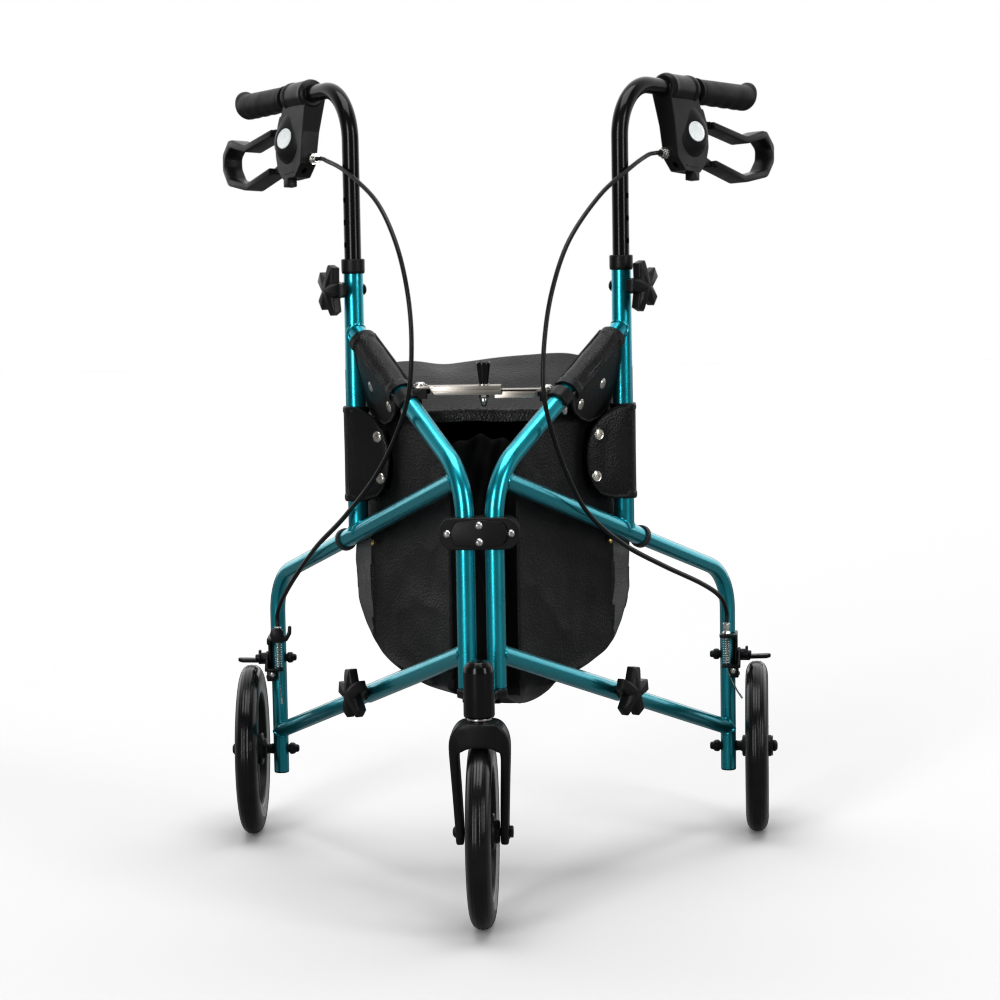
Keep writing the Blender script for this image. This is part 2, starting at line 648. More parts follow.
far_half = [[Vector((-p.x, p.y, p.z)) for p in ring] for ring in reversed(fork_rings)]
fork = lofted("fork", fork_rings + far_half)
apply_modifier(fork, "SUBSURF", levels=1, render_levels=1)
for vertex in fork.data.vertices:
    arch = AXLE_Z + math.sqrt(0.1055 ** 2 - min(abs(vertex.co.y - FRONT_AXLE_Y), 0.09) ** 2)
    under = clamped((vertex.co.z - 0.190) / 0.010) * clamped((0.2105 - vertex.co.z) / 0.004)
    if abs(vertex.co.x) < 0.0225:
        vertex.co.z += (arch - 0.2052) * under
boss = turned("boss", outline_mm([(0, -1), (20.5, -1), (20, 1.2), (13.5, 2.8), (0, 2.8)], 1), 40)
settle(boss, moved(0, STEM_Y, 0.2222))
fork = joined("fork_arch", [fork, boss])
dress(settle(fork, None, 50), moulded_black, "caster", "black_plastic", "caster_fork")
ring = turned("stem_washer", outline_mm([
        (8.6, 0), (12.5, 0), (13.2, 1), (13.2, 2.6), (11.2, 3.4), (8.6, 3.4)], 0.4), 40)
settle(ring, moved(0, STEM_Y, 0.2250))
dress(ring, bright_steel, "caster", "steel")


def hex_nut(name, across_flats, height, bore):
    """A hexagon nut or head along Z from zero, with its corners turned off."""
    corner = across_flats / math.sqrt(3)
    return turned(name, rounded([
            (bore, 0), (corner * 0.93, 0), (corner, height * 0.14), (corner, height * 0.82),
            (corner * 0.9, height), (bore, height)], 0.0001, 2), 6)


X_TURN = spun(90, "Y")
FRONT_WHEEL = moved(0, FRONT_AXLE_Y, AXLE_Z) @ X_TURN
head = hex_nut("head", 0.0108, 0.0040, 0)
head.location.z = 0.0282
tip = turned("tip", outline_mm([(0, 28), (4, 28), (4, 31.2), (3.2, 31.8), (0, 31.8)], 0.4), 20)
rod = turned("rod", [(0, -0.030), (0.0042, -0.030), (0.0042, 0.030), (0, 0.030)], 20)
far_head = turned("far_head", outline_mm([(0, -27.2), (6.2, -27.2), (6, -29), (3.5, -31), (0, -31.4)], 0.8),
                  24)
flat_ring = turned("flat_ring", outline_mm([(4.2, 27.4), (7.5, 27.4), (7.5, 28.3), (4.2, 28.3)], 0.2), 28)
bolt = joined("front_axle_bolt", [head, tip, rod, far_head, flat_ring])
dress(settle(bolt, FRONT_WHEEL, 30), black_zinc, "caster", "steel", "front_axle")

# Wheels: a solid black rubber tyre with fine rounds cut in its tread, pressed on a five-spoked black
# rim. The rim's lips are lighter grey, and its hub ends in pale nylon bushes.
tread_rubber = new_finish("tread_rubber", (0.010, 0.010, 0.0105), 0.0, 0.20, Specular_IOR_Level=0.35)
add_spread(tread_rubber, "Roughness", 0.15, 0.30, "Noise", 26, Detail=5)
add_spread(tread_rubber, "Base Color",
           (0.005, 0.005, 0.0053), (0.010, 0.010, 0.0104), "Noise", 55, Detail=4)
add_bump(tread_rubber, 0.06, 0.0003, "Noise", 700, Detail=3)
lip_grey = new_finish("lip_grey", (0.30, 0.30, 0.30), 0.0, 0.3)
add_spread(lip_grey, "Roughness", 0.24, 0.42, "Noise", 60, Detail=4)
add_bump(lip_grey, 0.1, 0.0003, "Noise", 900)
TREAD_SHARE = 0.88
RIM_LIP = ((0.0690, 0.0120), (0.0796, 0.0122), (0.0832, 0.0136), (0.0838, 0.0146), (0.0826, 0.0149),
           (0.0770, 0.0134), (0.0700, 0.0130))


def tread_radius(x):
    share = 1 - abs(x / 0.01502) ** 2.6
    return 0.0798 + 0.0217 * max(share, 0) ** (1 / 2.6)


def tyre_profile():
    outline = []
    for i in range(-40, 41):
        x = 0.0150 * math.sin(math.radians(90) * i / 40)
        groove = abs(math.sin(math.pi * x / 0.0050)) ** 6 if abs(x) < 0.0118 else 0.0
        outline.append((tread_radius(x) - 0.0004 * groove, x))
    return [(0.0795, -0.0120)] + outline + [(0.0795, 0.0120)]


def wheel_pieces(name, hub_half):
    """Tyre, black rim, its grey lips and its pale bushes of one wheel about Z."""
    tyre = turned(name + "_tread", tyre_profile(), 96)
    band = turned("band", outline_mm([(68, -10.5), (70, -12.5), (80, -12.5), (80, 12.5), (70, 12.5),
                                      (68, 10.5), (67.2, 3), (67.2, -3)], 1.2), 96)
    hub = turned("hub", rounded([
            (0.0051, -hub_half), (0.0110, -hub_half), (0.0125, -hub_half + 0.001), (0.0125, -0.0130),
            (0.0152, -0.0115), (0.0152, 0.0115), (0.0125, 0.0130), (0.0125, hub_half - 0.001),
            (0.0110, hub_half), (0.0051, hub_half)], 0.0008), 48)
    flange = turned("flange", outline_mm([
            (12, -12.8), (18.2, -12.8), (19.2, -11.2), (19.2, 11.2), (18.2, 12.8), (12, 12.8)], 0.8), 48)
    tyre.scale.z = band.scale.z = TREAD_SHARE
    rim = [band, hub, flange]
    for i in range(5):
        spoke = plate("spoke", outline_mm([
                (10, -9), (26, -7.4), (50, -6), (69, -7.8), (69, 7.8), (50, 6), (26, 7.4),
                (10, 9)], 12, 4), 0.012)
        soften(spoke, 0.0016, 2, 50)
        spoke.matrix_world = spun(72 * i + 90, "Z") @ moved(0, 0, -0.006)
        rim.append(spoke)
    rim = joined(name + "_rim_casting", rim)
    lips, bushes = [], []
    inset, face = hub_half - 0.002, hub_half + 0.0001
    for end in (-1, 1):
        lips.append(turned("lip", rounded([(r, end * x) for r, x in RIM_LIP], 0.0006), 96))
        bushes.append(turned("bush", rounded([(0.0052, end * inset), (0.0094, end * inset),
                                              (0.0094, end * face), (0.0052, end * face)], 0.0003), 32))
    lips = joined(name + "_rim_lips", lips)
    lips.scale.z = TREAD_SHARE
    bushes = joined(name + "_hub_bushes", bushes)
    return tyre, rim, lips, bushes


def leg_matrix(sign):
    """Frame of a rear leg: X outwards, Y back, Z up."""
    right = moved(0.270354, 0.227793, 0) @ spun(-2.5, "Z")
    return mirrored(sign) @ right


wheel_places = [("front", FRONT_WHEEL, 0.0180, "front_rim", "front_tyre")]
for side, sign in SIDES:
    place = leg_matrix(sign) @ moved(0.0344, 0, AXLE_Z) @ X_TURN
    wheel_places.append((side, place, 0.0175, side + "_wheel_rim", side + "_wheel_tyre"))
for name, place, hub_half, rim_node, tyre_node in wheel_places:
    tyre, rim, lips, bushes = wheel_pieces(name, hub_half)
    body = name + "_wheel"
    dress(settle(tyre, place, 30), tread_rubber, body, "tyre_rubber", tyre_node)
    dress(settle(rim, place, 35), moulded_black, body, "black_plastic", rim_node)
    dress(settle(lips, place, 35), lip_grey, body, "black_plastic")
    dress(settle(bushes, place, 35), lip_grey, body, "black_plastic")

# Rear axles: a bolt from outside through wheel, spacer and leg, with a thin wide washer under its round
# cap and a black cap nut on the inner side of the leg.
for side, sign in SIDES:
    nut = turned("nut", outline_mm([(0, -21.7), (2.8, -21.7), (4, -20.8), (4.6, -17.8), (6, -16.6),
                                    (6.6, -15), (6.8, -12.2), (6, -10.8), (4.8, -10.4), (4.8, -8.8),
                                    (0, -8.8)], 0.4), 24)
    spacer = turned("spacer", outline_mm([
            (0, 8.6), (5.2, 8.6), (6.2, 9.6), (5.6, 11), (5.6, 15), (6.8, 16), (6.8, 16.6),
            (0, 16.6)], 0.4), 28)
    washer = turned("washer", outline_mm([(0, 52.3), (11.8, 52.3), (12, 52.7), (11.8, 53.1), (0, 53.1)], 0.2),
                    40)
    cap = turned("cap", outline_mm([(0, 53), (5.8, 53), (6.6, 54.2), (6.2, 56.6), (4, 58.4), (0, 58.8)], 0.9),
                 28)
    axle = joined(side + "_axle_bolt", [nut, spacer, washer, cap])
    settle(axle, leg_matrix(sign) @ moved(0, 0, AXLE_Z) @ X_TURN, 30)
    dress(axle, black_zinc, side + "_frame", "steel", side + "_wheel_axle")

# Spreader: two pressed steel links with a turned-down front edge, one over the other on a stud with a
# tapered black pull knob above and a cap nut below. Each hangs on a black saddle bolted on its tube.
brushed_steel = new_finish("brushed_steel", (0.44, 0.41, 0.37), 1.0, 0.38)
add_spread(brushed_steel, "Roughness", 0.28, 0.5, "Noise", 90, (0.06, 8, 8), Detail=5)
add_spread(brushed_steel, "Base Color",
           (0.38, 0.35, 0.315), (0.50, 0.47, 0.43), "Noise", 120, (0.05, 9, 9), Detail=4)
add_bump(brushed_steel, 0.1, 0.0002, "Noise", 400, (0.03, 6, 6), Detail=3)
PIVOT = Vector((0.069147, -0.067539, 0))
LINK_Z = {"right": 0.5525, "left": 0.5568}
LINK_SHAPES = {"right": (0.0072, 0.009, 0.0071), "left": (0.0085, 0.019, 0.0006)}


for side, sign in SIDES:
    half, over, corner = LINK_SHAPES[side]
    inner = -PIVOT.x - over
    outline = [(half, half, half - 0.0001), (inner, half, corner), (inner, -half, corner),
               (half, -half, half - 0.0001)]
    bar = plate("bar", rounded(outline, 0.001, 8), 0.0030)
    soften(bar, 0.0005, 2, 50)
    edge_end = -PIVOT.x + 0.012 if side == "right" else inner
    front = -0.0046 if side == "right" else -0.0086
    edge = plate("edge", rounded([(-0.0100, 0.0026, 0), (-0.0160, -0.0072, 0.004),
                                  (edge_end, -0.0072, 0.0008), (edge_end, 0.0026, 0)], 0.0005, 5), 0.0026)
    soften(edge, 0.0005, 2, 50)
    edge.matrix_world = moved(0, front, 0) @ spun(90, "X")
    link = joined(side + "_link_bar", [bar, edge])
    settle(link, mirrored(sign) @ moved(PIVOT.x, PIVOT.y, LINK_Z[side] + 0.0004), 35)
    dress(link, brushed_steel, side + "_link", "steel", side + "_spreader_link")

knob = turned("pull_knob", outline_mm([
        (0, 0), (4.6, 0), (5, 1.2), (6, 10), (7, 18), (7.5, 22.2), (7.3, 24), (6.4, 24.5), (5.4, 23.4),
        (0, 22.8)], 1, 4), 40)
settle(knob, moved(0, PIVOT.y, LINK_Z["left"] + 0.0040), 50)
dress(knob, gloss_black, "left_link", "black_plastic")
foot = turned("knob_washer", outline_mm([(0, 0), (6.4, 0), (6.4, 1.2), (0, 1.2)], 0.3), 32)
settle(foot, moved(0, PIVOT.y, LINK_Z["left"] + 0.0032), 30)
dress(foot, bright_steel, "left_link", "steel", "spreader_knob")


def cap_nut(name, radius, height):
    """A domed hexagon nut, dome down along minus Z from zero."""
    collar = hex_nut("collar", radius * 1.8, height * 0.42, 0)
    collar.rotation_euler = (math.pi, 0, 0)
    dome = turned("dome", rounded([(0, -height * 0.38), (radius * 0.82, -height * 0.38),
                                   (radius * 0.8, -height * 0.62),
                                   (radius * 0.5, -height * 0.95), (0, -height)], radius * 0.3, 4), 24)
    return joined(name, [collar, dome])


nut = cap_nut("spreader_cap_nut", 0.0052, 0.0165)
settle(nut, moved(0, PIVOT.y, LINK_Z["right"] + 0.0003), 30)
dress(nut, bright_steel, "right_link", "steel", "spreader_nut")

for side, sign in SIDES:
    level = LINK_Z[side]
    clip = turned("clip", outline_mm([(10.4, -9), (13.2, -9), (14, -7.5), (14, 7.5), (13.2, 9), (10.4, 9)],
                                     0.6), 40)
    make_active(clip)
    open_mesh()
    bpy.ops.mesh.bisect(plane_co=(0, -0.002, 0), plane_no=(0, 1, 0), use_fill=True, clear_inner=True)
    bpy.ops.object.mode_set(mode="OBJECT")
    settle(clip, along((0.128, 0, slope_z(0.128)), slope_way))
    ear = plate("ear", outline_mm([(-10, 10, 9.8), (10, 10, 9.8), (13, -14, 3), (-13, -14, 3)], 3, 8), 0.0046)
    soften(ear, 0.0008, 2, 50)
    settle(ear, moved(0.128, 0.016, level - 0.0052))
    rib = plate("rib", outline_mm([(-10, 4), (-4, -12), (-12, -14), (-14, 0)], 2), 0.010)
    settle(rib, moved(0.128, 0.016, level - 0.0102))
    bracket = joined(side + "_link_bracket", [clip, ear, rib])
    settle(bracket, side_matrix(sign), 40)
    dress(bracket, moulded_black, side + "_frame", "black_plastic", side + "_spreader_bracket")
    screw = cross_head_screw(side + "_link_screw", 0.0056, 0.0032, 0.006)
    ring = turned("ring", outline_mm([(3, -0.4), (7.8, -0.4), (7.8, 0.6), (3, 0.6)], 0.2), 32)
    screw.location.z = 0.0004
    screw = joined(side + "_link_screw", [screw, ring])
    settle(screw, mirrored(sign) @ moved(PIVOT.x, PIVOT.y, level + 0.0040), 30)
    dress(screw, bright_steel, side + "_frame", "steel")
    nut = cap_nut(side + "_clip_nut", 0.0050, 0.0095)
    clip_down = moved(0.128, 0, slope_z(0.128)) @ Matrix.Rotation(-SLOPE, 4, "Y")
    settle(nut, side_matrix(sign) @ clip_down @ moved(0, 0, -0.0101), 30)
    dress(nut, bright_steel, side + "_frame", "steel")

# Hand nuts: five blunt wedge-shaped arms moulded in black plastic round a domed hub. Zinc carriage bolts
# come through the post and the lower rail from the inner side, where their round heads show.
KNOB_REACH, KNOB_DIP = 0.0284, 0.0150


def polar(radius, degrees):
    return Vector((radius * math.cos(math.radians(degrees)), radius * math.sin(math.radians(degrees))))


def star_radius(angle, spread):
    """Radius of the star at an angle: blunt tips 24 degrees wide, with straight flanks down to the dips."""
    off = abs((math.degrees(angle) + 36) % 72 - 36)
    tip = polar(KNOB_REACH, 12)
    if off <= 12:
        reach = tip.x / math.cos(math.radians(off))
    else:
        way, ray = polar(KNOB_DIP, 36) - tip, polar(1, off)
        reach = (tip.x * way.y - tip.y * way.x) / (ray.x * way.y - ray.y * way.x)
    return KNOB_DIP + (reach - KNOB_DIP) * spread


KNOB_STEPS = ((0.20, 0.0, 0.0098), (0.62, 0.4, 0.0100), (0.84, 0.9, 0.0106), (0.985, 1.0, 0.0116),
              (1.0, 1.0, 0.0124), (1.0, 1.0, 0.0196), (0.985, 1.0, 0.0205), (0.90, 0.98, 0.0216),
              (0.72, 0.95, 0.0230), (0.50, 0.8, 0.0244), (0.25, 0.4, 0.0254))


def star_knob(name):
    rings = []
    for scale, spread, height in KNOB_STEPS:
        ring = []
        for angle in full_turn(120):
            r = scale * star_radius(angle, spread)
            ring.append(Vector((-r * math.sin(angle), r * math.cos(angle), height)))
        rings.append(ring)
    star = lofted("star", rings)
    neck = turned("neck", outline_mm([(0, 0.2), (8.5, 0.2), (8.8, 2), (8.2, 3.6), (10, 7), (13.8, 10.8),
                                      (0, 10.8)], 0.8), 40)
    return joined(name, [star, neck])


for side, sign in SIDES:
    heads = []
    for name, s, r, z, spin in (("_post", POST_S, 0.0111, 0.662, 0.25),
                                ("_rail", 0.226, 0.0101, 0.2098, -0.15)):
        knob = star_knob(side + name + "_hand_nut")
        place = moved(s, -r - 0.0003, z) @ UPRIGHT @ Matrix.Rotation(spin, 4, "Z")
        settle(knob, side_matrix(sign) @ place, 40)
        node = side + name + "_knob"
        dress(knob, moulded_black, node, "black_plastic", node)
        head = turned("head", outline_mm([(0, -0.5), (6.4, -0.5), (6.5, 1), (5.2, 2.6), (2.6, 3.2), (0, 3.2)],
                                         0.8), 28)
        settle(head, moved(s, r, z) @ spun(-90, "X"))
        heads.append(head)
    heads = joined(side + "_carriage_bolts", heads)
    settle(heads, side_matrix(sign), 40)
    dress(heads, black_zinc, side + "_frame", "steel", side + "_knob_bolts")

# Handle tubes: gloss black steel tube, bent back over the posts, with a row of holes for the height.
# Each carries a smooth rubber grip with faint finger waves below and a lip that peaks at its end.
grip_rubber = new_finish("grip_rubber", (0.008, 0.008, 0.0084), 0.0, 0.46, Specular_IOR_Level=0.3)
add_spread(grip_rubber, "Roughness", 0.42, 0.62, "Noise", 40, Detail=4)
add_bump(grip_rubber, 0.10, 0.0003, "Voronoi", 900)
HANDLE_HOLES = [0.612 + 0.025 * i for i in range(7)]
HANDLE_END = moved(0.31704, 0, 0.88492) @ spun(93, "Y")


def grip_radius(t, angle):
    """Radius of the grip at a distance along it; the angle is zero on its underside."""
    if t > 0.1255:
        return 0.0135
    if t > 0.1165:
        lip = min(1.0, (t - 0.1165) / 0.006)
        peak = max(0.0, math.cos(angle - math.pi)) ** 2
        return 0.0150 + lip * (0.0002 + 0.0036 * peak)
    if t < 0.0050:
        return 0.0154
    if t < 0.0075:
        return 0.0143
    below = max(0.0, math.cos(angle)) ** 1.5
    waves = 0.0004 * below * math.sin(2 * math.pi * (t - 0.012) / 0.0255)
    return 0.0146 + 0.0006 * t / 0.117 + waves


grip_steps = [0, 0.0006, 0.0046, 0.0050, 0.0054, 0.0072, 0.0078] + [0.0090 + 0.00103 * i for i in range(105)]
grip_steps += [0.1180, 0.1195, 0.1210, 0.1230, 0.1246, 0.1254, 0.1258, 0.1268]
for side, sign in SIDES:
    tube = drawn_tube(side + "_handle_bar", (POST_S, 0, 0.516), (0, 0, 1), 0.0095, 0.0015,
                      [("run", 0.311), ("turn", (0.314, 0, 0.827), (0, 1, 0), 93), ("run", 0.222)])
    for height in HANDLE_HOLES:
        drilled(tube, (POST_S, 0, height), 0.0033, 0.04, 24)
    settle(tube, side_matrix(sign), 40)
    dress(tube, gloss_black, side + "_handle", "black_paint", side + "_handle_tube")
    rings = []
    for t in grip_steps:
        shrink = 0.86 if t > 0.1265 else 1.0
        slant = 0.011 * clamped((t - 0.085) / 0.0418) ** 2
        rings.append([Vector((grip_radius(t, a) * shrink * math.cos(a),
                              grip_radius(t, a) * shrink * math.sin(a),
                              0.100 + t - slant * (0.5 + 0.5 * math.cos(a)))) for a in full_turn(56)])
    grip = lofted(side + "_rubber_grip", rings)
    settle(grip, side_matrix(sign) @ HANDLE_END, 40)
    dress(grip, grip_rubber, side + "_handle", "grip_rubber", side + "_grip")

# Brake housings: two-piece black mouldings clamped round the handle tubes. A flanged barrel sits by the grip,
# the cheek carries a plain pale disc, and the lower chamfer has an oval keyhole for the lock.
disc_white = new_finish("disc_white", (0.74, 0.77, 0.77), 0.0, 0.3, Coat_Weight=0.5)
add_spread(disc_white, "Base Color", (0.70, 0.74, 0.745), (0.80, 0.82, 0.82), "Noise", 240, Detail=3)
add_bump(disc_white, 0.06, 0.0002, "Noise", 700)
LEVER_AT = (0.392, 0.832)
GRIP_ROLL = moved(0, 0, 0.8849) @ spun(-4, "X") @ moved(0, 0, -0.8849)
BADGE_TILT = spun(-15, "Y") @ spun(-11, "X")
cheek = outline_mm([(349, 886, 1), (350, 874, 6), (354.5, 840, 30), (356, 803, 4), (370, 788, 5),
                    (402, 785, 6), (417, 795, 8), (425.5, 814, 14), (426, 840, 16), (420, 856, 10),
                    (411, 866, 6), (409, 886, 1)], 4, 6)
slot = outline_mm([(470, 862), (388, 862, 14), (366, 850, 16), (366, 815, 16), (384, 780, 10), (470, 780)],
                  2, 5)
barrel_profile = outline_mm([(9.6, 33), (13.2, 33), (15.6, 34.5), (16.8, 38), (16.2, 44), (16.2, 78),
                             (15.4, 80), (15.4, 82), (17, 83), (17, 87.4), (16.2, 88), (9.6, 88)], 0.7)
for side, sign in SIDES:
    body = side + "_handle"
    shell = plate("shell", cheek, 0.020)
    shell.location.z = -0.010
    settle(shell)
    cutter = plate("cutter", slot, 0.0112)
    cutter.location.z = -0.0056
    settle(cutter)
    cut_away(shell, cutter)
    soften(shell, 0.0022, 3, 50)
    for vertex in shell.data.vertices:
        if vertex.co.z < 0:
            vertex.co.z *= 1 + 0.65 * clamped((vertex.co.y - 0.785) / 0.100) ** 2
    for place, size, tilt in (((0.3632, 0.7952, 0.001), (0.0046, 0.0032, 0.006), 45),
                              ((0.4165, 0.8640, 0.0100), (0.0042, 0.0062, 0.0026), 0)):
        select_none()
        bpy.ops.mesh.primitive_cylinder_add(vertices=32, radius=1, depth=2)
        hole = bpy.context.object
        hole.scale = size
        bpy.ops.object.transform_apply(location=True, rotation=True, scale=True)
        turn_in = UPRIGHT if tilt else Matrix.Identity(4)
        hole.matrix_world = Matrix.Translation(place) @ spun(-tilt, "Z") @ turn_in
        settle(hole)
        cut_away(shell, hole)
    boss_rings = []
    for share, radius, lift in ((0.0, 0.0300, 0.0090), (0.15, 0.0280, 0.0106), (0.40, 0.0250, 0.0122),
                                (0.70, 0.0210, 0.0138), (0.95, 0.0165, 0.0150), (1.0, 0.0138, 0.0154),
                                (1.0, 0.0128, 0.0155), (1.0, 0.0124, 0.0153), (1.0, 0.0122, 0.0146),
                                (1.0, 0.004, 0.0146)):
        lean_in = Matrix.Identity(4).lerp(BADGE_TILT, share)
        circle = [Vector((radius * math.cos(a), radius * math.sin(a), 0)) for a in full_turn(56)]
        boss_rings.append([Vector((*LEVER_AT, lift)) + lean_in @ p for p in circle])
    ring = lofted("ring", boss_rings)
    tab = plate("tab", outline_mm([(386.5, 777.6), (399.5, 776.2), (401, 786), (388, 788)], 1.2), 0.0115)
    soften(tab, 0.0008, 2, 50)
    tab.location.z = -0.0015
    edge = plate("edge", outline_mm([(374, 793.4), (399, 790.6), (399.4, 792), (374.4, 794.8)], 0.4), 0.0008)
    edge.location.z = 0.0097
    shell = joined("shell", [shell, ring, tab, edge])
    settle(shell, GRIP_ROLL @ UPRIGHT)
    barrel = turned("barrel", barrel_profile, 48)
    settle(barrel, HANDLE_END)
    housing = joined(side + "_brake_shell", [shell, barrel])
    settle(housing, side_matrix(sign), 45)
    dress(housing, moulded_black, body, "black_plastic", side + "_brake_housing")
    disc = turned(side + "_badge_disc", outline_mm([
            (0, -1.2), (12, -1.2), (12, 0.4), (11, 0.9), (10, 0.5), (0, 0.5)], 0.2), 48)
    settle(disc, side_matrix(sign) @ GRIP_ROLL @ UPRIGHT @ moved(*LEVER_AT, 0.0150) @ BADGE_TILT, 30)
    dress(disc, disc_white, body, "black_plastic")

# Cable adjusters: a lobed zinc thumb nut on a threaded barrel that is screwed into the housing's front, with
# the casing's ferrule in its open end.
def lobed_nut(name, radius, depth, lobes, low, high):
    rings = []
    for scale, height in ((0.75, low), (0.96, low), (1.0, low + 0.15 * (high - low)),
                          (1.0, high - 0.15 * (high - low)), (0.96, high), (0.75, high)):
        ring = []
        for a in full_turn(72):
            r = scale * (radius - depth * (0.5 + 0.5 * math.cos(lobes * a)))
            ring.append(Vector((r * math.cos(a), r * math.sin(a), height)))
        rings.append(ring)
    return lofted(name, rings)


for side, sign in SIDES:
    nut = lobed_nut("nut", 0.0070, 0.0009, 8, 0.0008, 0.0062)
    thread = turned("thread", outline_mm([
            (0, -2), (4.9, -2), (4.9, 0.8), (4.4, 0.9), (4.4, 6.6), (4, 6.9), (4.4, 7.2), (4.4, 8), (4, 8.3),
            (4.4, 8.6), (4.6, 9.4), (4.6, 12.6), (4.2, 13), (2.5, 13), (2.5, 10.5), (0, 10.5)], 0.2, 2), 32)
    adjuster = joined(side + "_thumb_adjuster", [nut, thread])
    settle(adjuster, side_matrix(sign) @ moved(0.356, 0, 0.809) @ spun(-90, "Y"), 30)
    dress(adjuster, bright_steel, side + "_handle", "steel", side + "_cable_adjuster")

# Brake levers: one black moulding each, a hub between the housing's cheeks, two arms and a wide band that
# closes round the fingers and turns up at its end.
loop_outline = outline_mm([(438, 844, 2), (515, 827, 30), (553, 834, 6), (563, 833, 5), (578, 816.5, 9),
                           (575.5, 797, 12), (557.5, 779, 16), (505, 773, 26), (438, 791.5, 8),
                           (438, 799.5, 2), (505.5, 781, 26), (553.5, 787, 14), (567.5, 800.5, 10),
                           (570, 813, 8), (556, 824.5, 8), (515, 818.6, 24), (438, 836, 8)], 6, 5)
arm_shapes = ([(400, 850.4), (440, 843.4), (440, 838.4), (400, 845.6)],
              [(398, 815), (441, 797.2), (441, 791.2), (396, 810.6)])
for side, sign in SIDES:
    band = plate("band", loop_outline, 0.023)
    band.location.z = -0.0115
    soften(band, 0.0012, 2, 40)
    hub = turned("hub", outline_mm([(4.06, -5.1), (24.5, -5.1), (25, -4.6), (25, 4.6), (24.5, 5.1),
                                    (4.06, 5.1)], 0.4), 56)
    hub.location = (*LEVER_AT, 0)
    arms = []
    for shape in arm_shapes:
        arm = plate("arm", outline_mm(shape, 1), 0.0102)
        arm.location.z = -0.0051
        arms.append(arm)
    webs = []
    for points in ([(436, 844.4), (452, 840.8), (452, 835.0), (436, 838.2)],
                   [(436, 798.8), (452, 794.2), (452, 787.7), (436, 792.2)]):
        web = plate("web", outline_mm(points, 1), 0.0150)
        web.location.z = -0.0075
        soften(web, 0.0008, 2, 40)
        webs.append(web)
    lever = joined(side + "_loop_lever", [band, hub] + arms + webs)
    settle(lever, side_matrix(sign) @ GRIP_ROLL @ UPRIGHT, 40)
    dress(lever, moulded_black, side + "_lever", "black_plastic", side + "_brake_lever")

# Rear brakes: a black pressed bracket on each leg holds the cable's barrel and the pivot bolt. A zinc spring
# pushes the arm down off the tyre, and the wire is pinched under a screw with its end left free.
SPRING_TURNS = 11
BRAKE_PIVOT = moved(0, 0, 0.213) @ X_TURN
WIRE_XY = (-0.001, -0.018)
WIRE_TAILS = {
    "left": ((*WIRE_XY, 0.2015), (-0.0012, -0.0188, 0.194), (-0.0018, -0.0196, 0.183),
             (-0.0030, -0.0200, 0.172), (-0.0040, -0.0200, 0.1600)),
    "right": ((*WIRE_XY, 0.2015), (0.001, -0.0186, 0.194), (0.0060, -0.0196, 0.182),
              (0.0118, -0.0206, 0.171), (0.0168, -0.0212, 0.1635))}


def leg_plate(name, outline, low, high):
    """A plate that stands in Y and Z of a leg's frame, from one X to another."""
    piece = plate(name, outline, high - low)
    soften(piece, 0.0005, 2, 50)
    return settle(piece, moved(low, 0, 0) @ Matrix((
            (0, 0, 1, 0), (1, 0, 0, 0), (0, 1, 0, 0), (0, 0, 0, 1))))


def flat_plate(name, outline, low, high):
    piece = plate(name, outline, high - low)
    soften(piece, 0.0005, 2, 50)
    return settle(piece, moved(0, 0, low))


